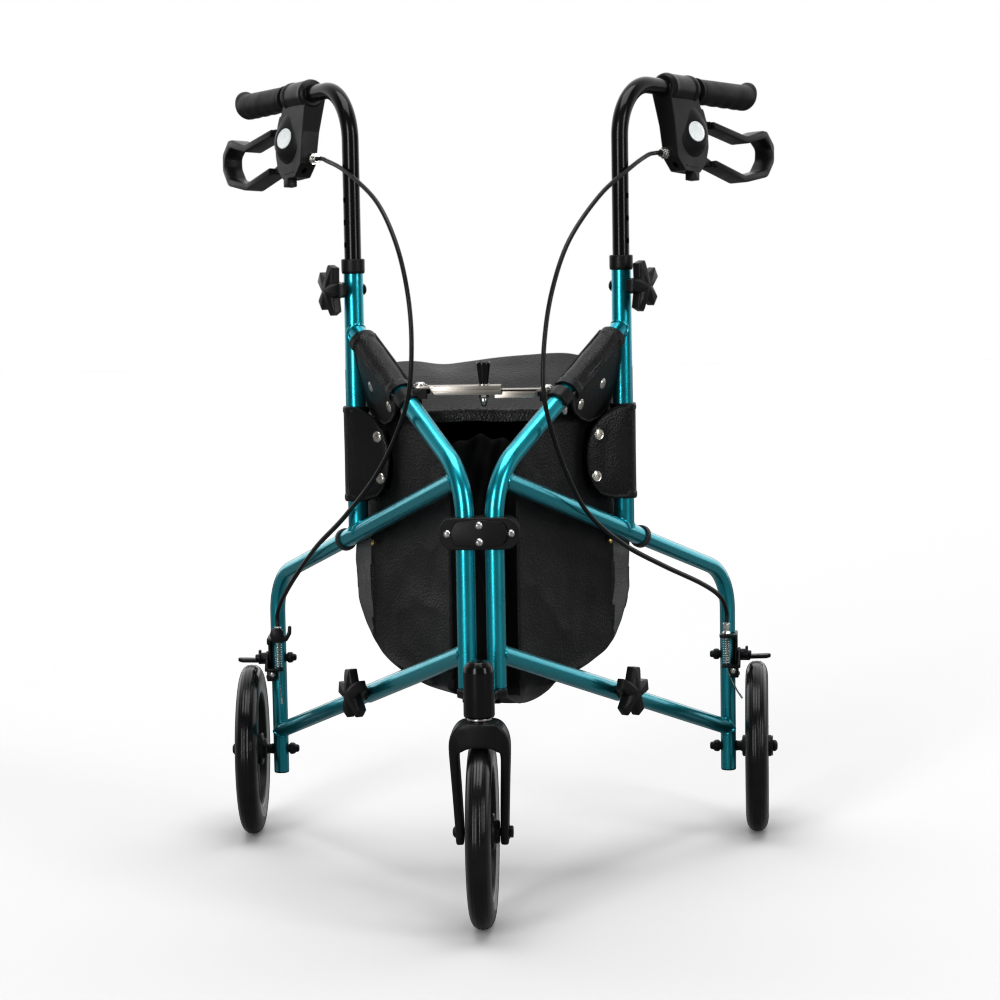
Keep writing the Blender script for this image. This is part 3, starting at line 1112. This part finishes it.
for side, sign in SIDES:
    web = leg_plate("web", outline_mm([
            (-8.5, 186.5), (9.5, 186.5), (10, 200), (10, 240), (-26, 240), (-26, 233),
            (-9, 231)], 3), 0.00874, 0.01164)
    stop = flat_plate("stop", outline_mm([(-9, -26, 5), (11.6, -26, 1), (11.6, -10, 1), (-9, -10, 5)], 3),
                      0.2362, 0.2398)
    nut = turned("nut", outline_mm([(0, -21), (2.6, -21), (3.6, -20), (4, -17.4), (5.6, -16.4), (6.2, -14.6),
                                    (6.2, -12), (5.4, -10.6), (4.4, -10.2), (4.4, -8.6), (0, -8.6)], 0.4), 24)
    settle(nut, BRAKE_PIVOT)
    bolt = turned("bolt", outline_mm([(0, 8), (3.9, 8), (3.9, 27.4), (3.2, 28), (0, 28)], 0.4), 20)
    settle(bolt, BRAKE_PIVOT)
    parts = [web, stop, nut, bolt]
    if side == "left":
        hook = plate("hook", outline_mm([(-4, 9), (6.5, 8.5), (9, 0), (5, -8), (-5, -9), (-12, -6),
                                         (-16.5, 2), (-17, 11), (-13.6, 11.5), (-12.8, 4), (-10, -1),
                                         (-7.6, 1.5), (-7.2, 6)], 3, 5), 0.0030)
        soften(hook, 0.0007, 2, 50)
        settle(hook, moved(-0.001, -0.0262, 0.2440) @ UPRIGHT)
        parts.append(hook)
    bracket = joined(side + "_brake_plate", parts)
    settle(bracket, leg_matrix(sign), 35)
    dress(bracket, black_zinc, side + "_frame", "black_paint", side + "_brake_bracket")
    barrel = turned("barrel", outline_mm([
            (0, 239.6), (4.6, 239.6), (5, 241), (4.4, 243), (3.6, 243.4), (3.6, 246), (4.3, 246.4),
            (4.3, 252.4), (3.6, 253.4), (2.6, 253.6), (2.6, 250),
            (0, 250)], 0.4), 8 if side == "right" else 24)
    core = drawn_wire("core", [Vector((0, 0, 0.2000)), Vector((0, 0, 0.2400))], 0.0008, 3)
    stop_barrel = joined(side + "_lower_adjuster", [barrel, core])
    settle(stop_barrel, leg_matrix(sign) @ moved(*WIRE_XY, 0), 30)
    dress(stop_barrel, bright_steel, side + "_frame", "steel")
    helix = [Vector((0.0041 * math.cos(a), 0.0041 * math.sin(a),
                     0.2039 + 0.0312 * a / (2 * math.pi * SPRING_TURNS)))
             for a in [2 * math.pi * i / 24 for i in range(24 * SPRING_TURNS + 1)]]
    spring = drawn_wire(side + "_return_spring", helix, 0.0006, 2)
    settle(spring, leg_matrix(sign) @ moved(*WIRE_XY, 0), 60)
    dress(spring, bright_steel, side + "_frame", "steel", side + "_brake_spring")
    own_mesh(spring)

    arm_plate = leg_plate("arm", outline_mm([
            (-24, 200), (-24, 203.4), (-8, 219.5), (8, 219.5), (26, 210.5), (26, 204), (10, 204.4), (0, 203),
            (-12, 200)], 2), 0.01204, 0.01504)
    boss = turned("boss", outline_mm([(4.1, 12.1), (7.4, 12.1), (7.5, 14.8), (5.9, 15.4), (5.9, 21.2),
                                      (7.2, 21.6), (7.4, 23.6), (6.8, 24), (4.1, 24)], 0.4), 32)
    settle(boss, BRAKE_PIVOT)
    catch = flat_plate("catch", outline_mm([(21.4, -3), (24, -3), (24, 3), (21.4, 3)], 0.8), 0.2186, 0.2222)
    tab = flat_plate("tab", outline_mm([(-7, -24, 4), (15, -24, 1), (15, -12, 1), (-7, -12, 4)], 3),
                     0.2000, 0.2030)
    bar = turned("bar", outline_mm([(0, 12.2), (4.4, 12.2), (4.6, 13), (4.6, 25.6), (4.2, 26.4), (0, 26.4)],
                                   0.4), 28)
    settle(bar, moved(0, 0.0206, 0.2068) @ X_TURN)
    shoe = plate("shoe", outline_mm([(13, 16, 1), (47, 16, 3), (51.4, 21, 2), (48.5, 26, 3), (13, 26, 1)], 2),
                 0.0040)
    soften(shoe, 0.0006, 2, 50)
    for vertex in shoe.data.vertices:
        vertex.co.z += 0.0016 * max(0.0, (vertex.co.x - 0.040) / 0.0114)
    settle(shoe, moved(0, 0, 0.2042))
    block = leg_plate("block", outline_mm([(-22, 188), (-11, 187), (-10, 200.4), (-22, 200.4)], 2),
                      0.0030, 0.0128)
    arm = joined(side + "_brake_lever_arm", [arm_plate, boss, catch, tab, bar, shoe, block])
    settle(arm, leg_matrix(sign), 35)
    dress(arm, black_zinc, side + "_brake", "black_paint", side + "_brake_arm")
    pinch = cross_head_screw("pinch", 0.0034, 0.0022, 0.004)
    settle(pinch, moved(0.0070, -0.0219, 0.1960) @ UPRIGHT)
    small = cross_head_screw("small", 0.0026, 0.0016, 0.003)
    settle(small, moved(0.0126, -0.0150, 0.1920) @ X_TURN)
    tail_line = [Vector(p) for p in WIRE_TAILS[side]]
    tail = drawn_wire("tail", smooth_line(tail_line, 6), 0.0007, 3)
    before, tip = tail_line[-2:]
    end_cap = drawn_wire("end_cap", [before.lerp(tip, 0.4), tip + (tip - before) * 0.05],
                         0.0012 if side == "left" else 0.0009, 4)
    clamp = joined(side + "_wire_clamp", [pinch, small, tail, end_cap])
    settle(clamp, leg_matrix(sign), 35)
    dress(clamp, bright_steel, side + "_brake", "steel")

# Bag: a black grained vinyl shell sewn from two side panels, a wider back that curves round its seams, where
# the vinyl is rubbed grey, and a front gusset of matt lining that falls in folds. Open at the top and lined,
# it hangs from its straps and sags at its base.
from mathutils import noise
vinyl = new_finish("vinyl", (0.008, 0.008, 0.0082), 0.0, 0.46, Specular_IOR_Level=0.28)
add_spread(vinyl, "Roughness", 0.30, 0.46, "Noise", 14, Detail=6)
add_spread(vinyl, "Base Color", (0.006, 0.006, 0.0062), (0.012, 0.012, 0.0123), "Noise", 9, Detail=5)
add_bump(vinyl, 0.55, 0.0007, "Voronoi", 430)
add_bump(vinyl, 0.16, 0.0022, "Noise", 60, Detail=5)
SIN_SIDE, COS_SIDE = math.sin(math.radians(31.7)), math.cos(math.radians(31.7))
BAG_GAP = 0.0145
BACK_Y = 0.061489
BAG_FLOOR, BAG_FRONT_TOP, BAG_TOP = 0.232, 0.495, 0.575


def plan(s, n):
    """Place in the ground plan of a point along and inwards from the right side frame."""
    return Vector((HINGE_X + s * SIN_SIDE - n * COS_SIDE, FRONT_Y + s * COS_SIDE + n * SIN_SIDE))


def fold(point, scale, depth):
    return depth * noise.noise(Vector(point) * scale)


def between(table, value):
    """Value read off a table of pairs, straight from one row to the next."""
    for (a, first), (b, second) in zip(table, table[1:]):
        if value <= b:
            return first + (second - first) * max(0.0, (value - a) / (b - a))
    return table[-1][1]


BACK_HALF = ((0.232, 0.074), (0.2355, 0.092), (0.243, 0.112), (0.2515, 0.128), (0.266, 0.1395),
             (0.284, 0.1475), (0.302, 0.1530), (0.320, 0.1558), (0.360, 0.1575), (0.400, 0.1565),
             (0.440, 0.1500), (0.575, 0.1440))


def bag_ring(z, front_s, sag):
    """One level of the bag: right panel from front to seam, the wider back, left panel, folded front."""
    half = between(BACK_HALF, z)
    seam_x = min(0.1365, half - 0.007)
    seam_s = (seam_x - HINGE_X + BAG_GAP * COS_SIDE) / SIN_SIDE
    ring = []
    for i in range(26):
        t = min(i / 24, 0.985 + 0.015 * (i - 24))
        spot = plan(front_s + (seam_s - front_s) * t, BAG_GAP + 0.001 + 0.0045 * math.sin(math.pi * t) * sag)
        ring.append(Vector((spot.x, spot.y, z)))
    seam = ring[-1]
    strip = between(((0.350, 0.008), (0.385, 0.024)), z)
    back = [seam + Vector((share * (half - seam.x), share * strip, 0)) for share in (0.08, 0.5, 0.92)]
    depth = 0.0055 * (0.75 + 0.25 * sag) + 0.024 - strip
    for share in (1.0, 0.985, 0.945, 0.86, 0.70, 0.48, 0.24):
        round_off = math.sqrt(1 - share ** 4) if share < 1 else 0.08
        back.append(Vector((half * share, seam.y + strip + depth * round_off, z)))
    ring += back + [Vector((0, seam.y + strip + depth, z))] + [Vector((-p.x, p.y, z)) for p in reversed(back)]
    ring += [Vector((-p.x, p.y, p.z)) for p in reversed(ring[:26])]
    front = ring[0]
    for i in range(1, 16):
        t = i / 16
        crease = 0.5 + 0.5 * math.cos(2 * math.pi * (2.5 * t + 0.4 * math.sin(z * 17)))
        hollow = math.sin(math.pi * t) ** 0.6
        ring.append(Vector((-front.x + 2 * front.x * t, front.y + hollow * (0.016 + 0.014 * crease), z)))
    return ring


def bag_top(y):
    """Height of the bag's sloping upper edge at a place from front to back."""
    share = (y - plan(0.060, BAG_GAP).y) / (BACK_Y - plan(0.060, BAG_GAP).y)
    return BAG_FRONT_TOP + (BAG_TOP - BAG_FRONT_TOP) * clamped(share)


levels = []
for i in range(45):
    t = i / 44
    z = BAG_FLOOR + (BAG_TOP - BAG_FLOOR) * (0.35 * t + 0.65 * t * t)
    low = max(0.0, (0.290 - z) / 0.058)
    levels.append(bag_ring(z, 0.064 + 0.012 * low * low, 0.4 + 0.6 * (1 - t)))
base = []
tip = Vector((0.032, -0.024, 0))
for depth, shrink in ((0.0035, 0.95), (0.0095, 0.82), (0.0175, 0.60), (0.0245, 0.38), (0.0295, 0.20),
                      (0.0318, 0.09)):
    ring = []
    for p in levels[0]:
        spot = tip + (Vector((p.x, p.y, 0)) - tip) * shrink
        wave = 0.0025 * math.sin(spot.x * 70) * (1 - shrink)
        ring.append(Vector((spot.x, spot.y, BAG_FLOOR - depth + wave)))
    base.append(ring)
centre = Vector((0, -0.02, 0))
inside = []
for level in reversed(levels[5:]):
    inside.append([centre + (p - centre) * 0.955 + Vector((0, 0, 0.045 * p.z)) for p in level])
bag = lofted("bag_shell_base", list(reversed(base)) + levels + inside)
for vertex in bag.data.vertices:
    top = bag_top(vertex.co.y)
    if vertex.co.z > 0.300:
        vertex.co.z = 0.300 + (vertex.co.z - 0.300) * (top - 0.300) / (BAG_TOP - 0.300)
apply_modifier(bag, "SUBSURF", levels=1, render_levels=1)
for vertex in bag.data.vertices:
    here = vertex.co.copy()
    forward = clamped((-0.07 - here.y) / 0.05) * clamped((here.z - 0.40) / 0.06)
    soft = fold(here, 13, 0.0030) + fold(here + Vector((3, 1, 2)), 34, 0.0011)
    soft += forward * fold(here * 1.3 + Vector((1, 7, 0)), 46, 0.0045)
    inward = Vector((-here.x, 0.02 - here.y, 0)).normalized()
    vertex.co += inward * (0.0006 + abs(soft))
bag.name = "bag_shell"
settle(bag, None, 42)
worn_vinyl = new_finish("worn_vinyl", (0.09, 0.093, 0.09), 0.0, 0.42, Specular_IOR_Level=0.4)
add_spread(worn_vinyl, "Base Color", (0.075, 0.077, 0.075), (0.110, 0.113, 0.110), "Noise", 22, Detail=6)
add_spread(worn_vinyl, "Roughness", 0.34, 0.48, "Noise", 14, Detail=6)
add_bump(worn_vinyl, 0.55, 0.0007, "Voronoi", 430)
lining_black = new_finish("lining_black", (0.003, 0.003, 0.0031), 0.0, 0.7, Specular_IOR_Level=0.12)
add_spread(lining_black, "Roughness", 0.6, 0.8, "Noise", 300, Detail=4)
add_bump(lining_black, 0.2, 0.0004, "Wave", 700, Distortion=2.0)
dress(bag, vinyl, "head", "vinyl", "bag_body")
bag.data.materials.append(worn_vinyl)
bag.data.materials.append(lining_black)
WORN, LINED = 1, 2
front_corner = plan(0.066, BAG_GAP)
for polygon in bag.data.polygons:
    here = polygon.center
    outward = Vector((here.x, here.y - centre.y, 0)).normalized()
    if polygon.normal.dot(outward) < -0.3 or (polygon.normal.z > 0.7 and here.z < 0.35):
        polygon.material_index = LINED
    elif abs(here.x) > 0.1372 and 0.262 < here.z < 0.42 and here.y < BACK_Y + 0.012:
        polygon.material_index = WORN
    elif abs(here.x) < front_corner.x - 0.002 and here.y < front_corner.y + 0.045 and here.z > 0.215:
        polygon.material_index = LINED

binding_black = new_finish("binding_black", (0.006, 0.006, 0.0062), 0.0, 0.55, Specular_IOR_Level=0.25)
add_spread(binding_black, "Roughness", 0.46, 0.66, "Noise", 120, Detail=3)
add_bump(binding_black, 0.3, 0.0004, "Wave", 420, Distortion=1.5)
hem_line = []
for share in [i / 60 for i in range(-60, 61)]:
    z = 0.2335 + 0.110 * abs(share) ** 1.6
    aim = Vector((math.copysign(between(BACK_HALF, z), share), 0.060, z))
    if abs(share) <= 0.12:
        aim.x = 0.078 * share / 0.12
    near = min(bag.data.vertices, key=lambda v: (v.co - aim).length_squared)
    hem_line.append(near.co.lerp(aim, 0.15))
smooth_hem = [(a + 2 * b + c) / 4 for a, b, c in zip(hem_line, hem_line[1:], hem_line[2:])]
hem = drawn_wire("bag_hem", [hem_line[0], *smooth_hem, hem_line[-1]], 0.0024, 3)
settle(hem, None, 60)
dress(hem, binding_black, "head", "vinyl")


def flattens(piece):
    """The bag is pressed flat between the side frames as they fold."""
    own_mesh(piece)


flattens(bag)
flattens(hem)

# Bag lid: a loose vinyl flap over the sloping mouth, sewn to the bag along its back edge, where it rises
# in a wave. Its front edge falls over the mouth.
lean = math.atan2(BAG_TOP - BAG_FRONT_TOP, BACK_Y - plan(0.060, BAG_GAP).y)
LID_LONG = (BACK_Y - FRONT_Y - 0.140) / math.cos(lean)
LID_EDGE = ((-0.122, 0.5790), (-0.108, 0.5800), (-0.084, 0.5785), (-0.056, 0.5735), (-0.016, 0.5800),
            (0.030, 0.5845), (0.076, 0.5865), (0.096, 0.5855), (0.122, 0.5800))


def lid_height(x, v):
    """Rise of the lid above the bag's mouth: the back edge's wave dies out to the front."""
    edge = sum(between(LID_EDGE, x + d) for d in (-0.012, -0.006, 0, 0.006, 0.012)) / 5 - BAG_TOP
    wave = fold((x, v * 0.1, 1.7), 24, 0.0022)
    return 0.0026 + (edge - 0.0026) * v * v + 0.004 * math.sin(math.pi * v) + wave


lid_front_x = plan(0.140 / COS_SIDE, BAG_GAP).x - 0.012
select_none()
bpy.ops.mesh.primitive_grid_add(x_subdivisions=56, y_subdivisions=40, size=1)
lid = bpy.context.object
lid.name = "bag_flap"
for vertex in lid.data.vertices:
    v = max(0.0, (vertex.co.y + 0.5 - 0.15) / 0.85)
    drop = max(0.0, 0.15 - (vertex.co.y + 0.5)) / 0.15
    half = lid_front_x + (0.122 - lid_front_x) * v
    x = 2 * vertex.co.x * half * (1 - 0.04 * drop)
    along_lid = LID_LONG * (v - 1)
    rise = lid_height(x, v) - 0.0035 * abs(2 * vertex.co.x) ** 6
    y = BACK_Y + along_lid * math.cos(lean) - rise * math.sin(lean) - 0.004 * math.sin(drop * 1.5)
    vertex.co = (x, y, BAG_TOP + along_lid * math.sin(lean) + rise * math.cos(lean) - 0.013 * drop ** 1.5)
apply_modifier(lid, "SUBSURF", levels=1, render_levels=1)
apply_modifier(lid, "SOLIDIFY", thickness=0.0022, offset=0)
settle(lid, None, 50)
dress(lid, vinyl, "bag_lid", "vinyl", "bag_lid")
flattens(lid)

# Straps: vinyl sleeves round the sloping tubes and wraps round the posts hold the bag. Each runs down from
# outside the tube to the bag's side in a rounded flap, bound at its edge and closed with two nickel snaps.
nickel = new_finish("nickel", (0.66, 0.63, 0.57), 1.0, 0.26)
add_spread(nickel, "Roughness", 0.2, 0.38, "Noise", 600, Detail=3)
add_bump(nickel, 0.08, 0.0002, "Noise", 1200)
brass = new_finish("brass", (0.70, 0.52, 0.22), 1.0, 0.28)
add_spread(brass, "Roughness", 0.22, 0.4, "Noise", 600, Detail=3)
add_bump(brass, 0.08, 0.0002, "Noise", 1200)
SLEEVE = (0.141, 0.236)
FLAP = outline_mm([(270, 6), (268, -4), (266, -20), (258, -35), (246, -62), (236, -71), (217, -70),
                   (191, -59), (170, -39), (156, -19), (152, -5), (152, 6)], 9, 5)
WRAP = outline_mm([(4, 532), (-11, 531), (-24, 526.5), (-38.5, 518), (-50, 506.5), (-56, 490), (-58, 473.5),
                   (-55.7, 455.6), (-49, 441.7), (-39, 431), (-21, 426.5), (4, 426)], 8, 5)
FLAP_PLANE = (moved(0, 0, SLOPE_Z) @ Matrix.Rotation(-SLOPE, 4, "Y") @ spun(18, "X")
              @ moved(0, -0.012, 0) @ UPRIGHT)
WRAP_PLANE = moved(POST_S, 0, 0) @ spun(-24, "Z") @ moved(0, -0.0128, 0) @ UPRIGHT


def sewn_flap(name, outline, seed):
    """A soft flap over an outline in X and Y: a bound edge round a face that puffs up along Z and creases."""
    middle = sum((Vector(p) for p in outline), Vector((0, 0))) / len(outline)
    rings = []
    for share, height in ((0.30, -0.0012), (1.0, -0.0012), (1.004, 0.0004), (0.985, 0.0016),
                          (0.945, 0.0015), (0.925, 0.0007), (0.88, 0.0011), (0.78, 0.0016), (0.64, 0.0019),
                          (0.48, 0.0021), (0.32, 0.0022), (0.14, 0.0022)):
        ring = []
        for p in outline:
            spot = middle + (Vector(p) - middle) * share
            crease = 0.0
            if height > 0.001:
                crease = fold((spot.x, spot.y * 0.6, seed), 55, 0.0022) * max(0.0, 1 - share)
            ring.append(Vector((spot.x, spot.y, height + crease)))
        rings.append(ring)
    return lofted(name, rings)


for side, sign in SIDES:
    rings = []
    across_slope = Vector((-math.sin(SLOPE), 0, math.cos(SLOPE)))
    for i in range(49):
        t = i / 48
        s = SLEEVE[0] + (SLEEVE[1] - SLEEVE[0]) * t
        ring = []
        for a in full_turn(40):
            loose = 0.0134 + 0.0010 * math.cos(2 * a + 0.6)
            loose += fold((t * 0.09, a * 0.014, sign * 0.5), 40, 0.0012)
            loose += 0.0011 if t < 0.085 or t > 0.915 else 0.0
            outward = across_slope * math.sin(a) - Vector((0, math.cos(a), 0))
            ring.append(Vector((s, 0, slope_z(s))) + outward * loose)
        rings.append(ring)
    sleeve = lofted(side + "_sleeve_skin", rings, filled=False)
    apply_modifier(sleeve, "SOLIDIFY", thickness=0.0018, offset=-1)
    fin_way = (Vector((0, 1, 0)) * 0.80 + across_slope * 0.60) * 0.0142
    fin_line = [Vector((s, 0, slope_z(s))) + fin_way
                for s in (SLEEVE[0] + 0.002, 0.165, 0.19, 0.215, SLEEVE[1] - 0.002)]
    fin = drawn_wire("fin", fin_line, 0.0020, 3)
    fin.data.materials.append(binding_black)
    pieces = [sleeve, fin]
    for name, outline, plane, snaps in (("flap", FLAP, FLAP_PLANE, ((0.222, -0.026), (0.170, -0.018))),
                                        ("wrap", WRAP, WRAP_PLANE, ((-0.042, 0.499), (-0.0455, 0.4525)))):
        panel = sewn_flap(name, outline, sign * 0.7 + 0.1 * len(outline))
        pieces.append(settle(panel, plane, 50))
        for x, y in snaps:
            snap = turned("snap", outline_mm([(0, 0), (6.2, 0), (6.4, 0.7), (5.6, 1.7), (4.6, 1.5),
                                              (3.6, 1.9), (0, 2.2)], 0.3), 28)
            settle(snap, plane @ moved(x, y, 0.0012))
            snap.data.materials.append(nickel)
            pieces.append(snap)
    around = turned("around", outline_mm([
            (11.5, 424.5), (14, 424.5), (14.8, 427), (14.8, 431), (14, 432), (13.8, 478), (14, 524),
            (14.8, 525), (14.8, 529), (14, 531), (11.5, 531)], 0.6), 40)
    settle(around, moved(POST_S, 0, 0))
    pieces.append(around)
    for piece in pieces:
        if not piece.data.materials:
            piece.data.materials.append(vinyl)
    straps = joined(side + "_strap_set", pieces)
    settle(straps, side_matrix(sign), 45)
    dress(straps, None, side + "_frame", "vinyl", side + "_bag_straps")
    stud = turned(side + "_stud", outline_mm([
            (0, -3), (2, -3), (2, 0), (3.4, 0.2), (3.2, 1.4), (1.8, 2.4), (0, 2.6)], 0.3), 24)
    settle(stud, side_matrix(sign) @ moved(0.246, 0.0125, 0.376) @ UPRIGHT, 30)
    dress(stud, brass, "head", "steel")
    flattens(stud)

# Stage: a pale floor that runs into a white backdrop, as in a studio for catalogue pictures. A tall soft
# box stands in front on either side, and a broad one hangs above.
bpy.context.scene.view_settings.view_transform = "Standard"
bpy.context.scene.view_settings.gamma = 0.82
select_none()
bpy.ops.mesh.primitive_plane_add(size=14, location=(0, 2, -0.0004))
floor = bpy.context.object
floor.name = "floor"
floor.is_shadow_catcher = True
floor_white = new_finish("floor_white", (0.22, 0.22, 0.22), 0.0, 0.8)
add_spread(floor_white, "Roughness", 0.75, 0.85, "Noise", 2)
floor.data.materials.append(floor_white)
world = bpy.data.worlds.new("studio")
bpy.context.scene.world = world
world.use_nodes = True
sky = world.node_tree
room = sky.nodes["Background"]
around_place = sky.nodes.new("ShaderNodeTexCoord")
parts = sky.nodes.new("ShaderNodeSeparateXYZ")
backdrop = sky.nodes.new("ShaderNodeMapRange")
for socket, value in (("From Min", -0.1), ("From Max", 0.6), ("To Min", 0.10), ("To Max", 1.5)):
    backdrop.inputs[socket].default_value = value
sky.links.new(around_place.outputs["Generated"], parts.inputs["Vector"])
sky.links.new(parts.outputs["Y"], backdrop.inputs["Value"])
sky.links.new(backdrop.outputs["Result"], room.inputs["Strength"])
room.inputs["Color"].default_value = (1, 1, 1, 1)
bright = sky.nodes.new("ShaderNodeBackground")
bright.inputs["Color"].default_value = (1, 1, 1, 1)
bright.inputs["Strength"].default_value = 1.0
rays = sky.nodes.new("ShaderNodeLightPath")
mixer = sky.nodes.new("ShaderNodeMixShader")
sky.links.new(rays.outputs["Is Camera Ray"], mixer.inputs["Fac"])
sky.links.new(room.outputs["Background"], mixer.inputs[1])
sky.links.new(bright.outputs["Background"], mixer.inputs[2])
sky.links.new(mixer.outputs["Shader"], sky.nodes["World Output"].inputs["Surface"])


def soft_box(name, place, aim, wide, high, power):
    light = bpy.data.lights.new(name, "AREA")
    light.shape = "RECTANGLE"
    light.size, light.size_y = wide, high
    light.energy = power
    lamp = bpy.data.objects.new(name, light)
    bpy.context.scene.collection.objects.link(lamp)
    lamp.location = place
    lamp.rotation_euler = (Vector(aim) - Vector(place)).to_track_quat("-Z", "Y").to_euler()


soft_box("front_left_box", (-1.4, -3.0, 1.2), (0, 0, 0.5), 0.8, 2.4, 72)
soft_box("front_right_box", (2.6, -2.0, 1.5), (0, 0, 0.5), 0.8, 2.0, 45)
soft_box("top_box", (0, -0.4, 3.2), (0, 0, 0.4), 2.4, 2.0, 76)
